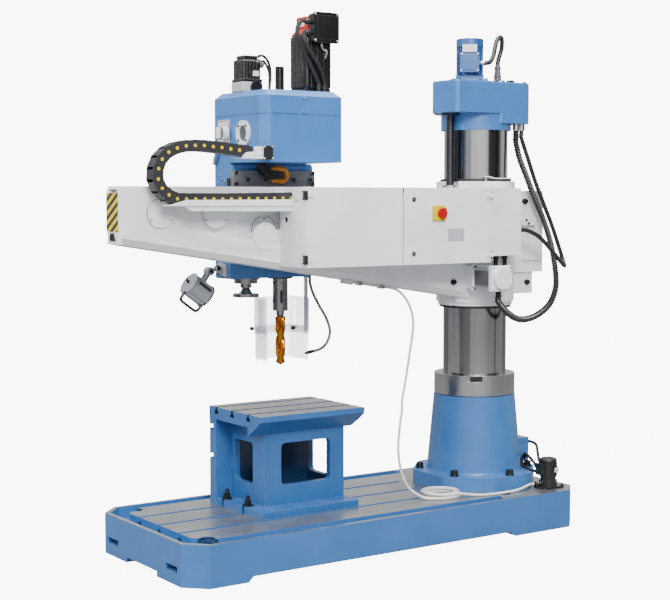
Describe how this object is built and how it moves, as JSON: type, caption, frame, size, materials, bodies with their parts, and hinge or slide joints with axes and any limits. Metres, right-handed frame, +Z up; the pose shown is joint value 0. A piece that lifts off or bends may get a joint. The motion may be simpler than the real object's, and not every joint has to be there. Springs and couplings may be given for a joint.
{
  "type": "radial arm drill",
  "caption": "Free-standing radial arm drill: slotted base with box table, swivelling column, lifting arm with cabinet, and a drill head that slides along the arm",
  "frame": {"origin": "On the floor, at the centre of the four foundation bolts of the base.", "axes": "+Z is up. +X runs along the base from its free end to the column, so the arm points to -X. The cabinet faces -Y and the operator stands at +Y."},
  "size_m": [2.3489, 0.86, 2.323],
  "materials": {
    "machine_blue_base": "cast base painted blue, its working face machined bare",
    "blue_paint": "semi-gloss mid-blue machine enamel",
    "white_paint": "semi-gloss pale grey-white machine enamel",
    "black_paint": "satin black enamel",
    "ground_steel": "ground and polished steel",
    "bright_steel": "turned and plated steel",
    "dark_steel": "oiled dark steel",
    "coated_steel": "gold-coloured hard coating",
    "black_oxide": "black oxide",
    "dark_iron": "machined dark cast iron",
    "bronze": "plain bronze",
    "grey_aluminium": "grey enamelled light alloy",
    "black_rubber": "matte black rubber",
    "black_conduit": "ribbed black plastic",
    "black_plastic": "satin black moulded plastic",
    "white_hose": "milky white hose",
    "yellow_plastic": "yellow enamelled plate",
    "red_plastic": "red moulded plastic",
    "clear_plastic": "clear shield sheet, lightly scuffed"
  },
  "bodies": {
    "base": {"base_casting": "machine_blue_base", "column_foot": "blue_paint", "foot_bolts": "black_oxide", "inner_column": "ground_steel", "box_table": "blue_paint", "table_bolts": "black_oxide", "coolant_pump": "black_paint", "junction_box": "blue_paint", "pump_cables": "black_rubber", "hose_coil": "white_hose", "hose_to_pump": "white_hose", "hose_riser": "white_hose"},
    "column": {"outer_column": "ground_steel", "column_ring": "ground_steel", "column_cap": "blue_paint", "cap_lid": "blue_paint", "lift_motor": "blue_paint", "lift_motor_cable": "black_rubber"},
    "lift_screw": {"lift_screw": "dark_steel"},
    "arm": {"arm_casting": "white_paint", "arm_fittings": "white_paint", "guideways": "ground_steel", "arm_seals": "black_rubber", "lift_nut": "bronze", "cabinet_body": "white_paint", "cabinet_hinges": "black_oxide", "clamp_motor": "white_paint", "chain_tray": "white_paint", "chain_lower": "black_plastic", "hose_on_arm": "white_hose", "conduit_ribbed": "black_conduit", "conduit_smooth": "black_rubber"},
    "chain_loop": {"chain_loop": "black_plastic"},
    "door_left": {"door_left": "white_paint"},
    "door_right": {"door_right": "white_paint", "switch_plate": "yellow_plastic"},
    "switch_knob": {"switch_knob": "red_plastic"},
    "lock_upper": {"lock_upper": "bright_steel"},
    "lock_lower": {"lock_lower": "bright_steel"},
    "head": {"head_body": "blue_paint", "head_gearbox": "blue_paint", "head_cover": "blue_paint", "saddle_plates": "dark_iron", "main_motor": "black_paint", "motor_box": "black_paint", "motor_cables": "black_rubber", "feed_servo": "black_paint", "head_fittings": "bright_steel", "coolant_nozzle": "bright_steel", "chain_upper": "black_plastic"},
    "selector_knob": {"selector_knob": "bright_steel"},
    "feed_lever": {"feed_lever": "bright_steel"},
    "handwheel": {"handwheel": "dark_iron"},
    "lamp_arm": {"lamp_arm": "grey_aluminium"},
    "lamp_head": {"lamp_head": "grey_aluminium"},
    "quill": {"quill": "ground_steel"},
    "spindle": {"spindle": "ground_steel", "twist_drill": "coated_steel"},
    "guard": {"guard_upper": "clear_plastic"},
    "guard_lower": {"guard_lower": "clear_plastic"}
  },
  "joints": [
    {"name": "column_swivel", "type": "hinge", "parent": "base", "child": "column", "pos_m": [0.865, 0, 1], "axis": [0, 0, 1], "range_deg": [-90, 90], "deforming": ["hose_riser"]},
    {"name": "arm_lift", "type": "slide", "parent": "column", "child": "arm", "axis": [0, 0, 1], "range_m": [-0.165, 0.21], "deforming": ["hose_on_arm", "conduit_ribbed", "conduit_smooth"]},
    {"name": "lift_screw_turn", "type": "hinge", "parent": "column", "child": "lift_screw", "pos_m": [0.675, -0.043, 1.6], "axis": [0, 0, 1], "continuous": true},
    {"name": "head_traverse", "type": "slide", "parent": "arm", "child": "head", "axis": [1, 0, 0], "range_m": [-0.45, 0.5], "deforming": ["chain_lower", "chain_upper"]},
    {"name": "chain_roll", "type": "slide", "parent": "arm", "child": "chain_loop", "axis": [1, 0, 0], "range_m": [-0.225, 0.25]},
    {"name": "left_door_hinge", "type": "hinge", "parent": "arm", "child": "door_left", "pos_m": [-0.318, -0.334, 1.41], "axis": [0, 0, -1], "range_deg": [0, 110]},
    {"name": "right_door_hinge", "type": "hinge", "parent": "arm", "child": "door_right", "pos_m": [0.689, -0.334, 1.41], "axis": [0, 0, 1], "range_deg": [0, 110]},
    {"name": "main_switch_turn", "type": "hinge", "parent": "door_right", "child": "switch_knob", "pos_m": [0.391, -0.34, 1.466], "axis": [0, -1, 0], "range_deg": [0, 90]},
    {"name": "upper_lock_turn", "type": "hinge", "parent": "door_right", "child": "lock_upper", "pos_m": [0.242, -0.33, 1.526], "axis": [0, -1, 0], "range_deg": [0, 90]},
    {"name": "lower_lock_turn", "type": "hinge", "parent": "door_right", "child": "lock_lower", "pos_m": [0.242, -0.33, 1.291], "axis": [0, -1, 0], "range_deg": [0, 90]},
    {"name": "selector_turn", "type": "hinge", "parent": "head", "child": "selector_knob", "pos_m": [-0.424, 0.12, 1.811], "axis": [1, 0, 0], "range_deg": [-135, 135]},
    {"name": "feed_lever_swing", "type": "hinge", "parent": "head", "child": "feed_lever", "pos_m": [-0.434, 0.196, 1.725], "axis": [1, 0, 0], "range_deg": [-30, 30]},
    {"name": "handwheel_turn", "type": "hinge", "parent": "head", "child": "handwheel", "pos_m": [-0.308, 0.1658, 1.12], "axis": [0, 0, 1], "continuous": true},
    {"name": "lamp_arm_tilt", "type": "hinge", "parent": "head", "child": "lamp_arm", "pos_m": [-0.448, 0.172, 1.225], "axis": [0, 1, 0], "range_deg": [-30, 25]},
    {"name": "lamp_tilt", "type": "hinge", "parent": "lamp_arm", "child": "lamp_head", "pos_m": [-0.49, 0.172, 1.215], "axis": [0, 1, 0], "range_deg": [-30, 30]},
    {"name": "quill_feed", "type": "slide", "parent": "head", "child": "quill", "axis": [0, 0, -1], "range_m": [0, 0.165]},
    {"name": "spindle_turn", "type": "hinge", "parent": "quill", "child": "spindle", "pos_m": [-0.129, 0.1658, 1.1], "axis": [0, 0, 1], "continuous": true},
    {"name": "guard_swing", "type": "hinge", "parent": "head", "child": "guard", "pos_m": [-0.021, 0.1208, 1], "axis": [0, 0, -1], "range_deg": [0, 100]},
    {"name": "guard_slide", "type": "slide", "parent": "guard", "child": "guard_lower", "axis": [0, 0, 1], "range_m": [0, 0.115]}
  ],
  "couplings": [
    {"joint": "lift_screw_turn", "follows": "arm_lift", "rad_per_m": 785.4},
    {"joint": "chain_roll", "follows": "head_traverse", "ratio": 0.5}
  ]
}
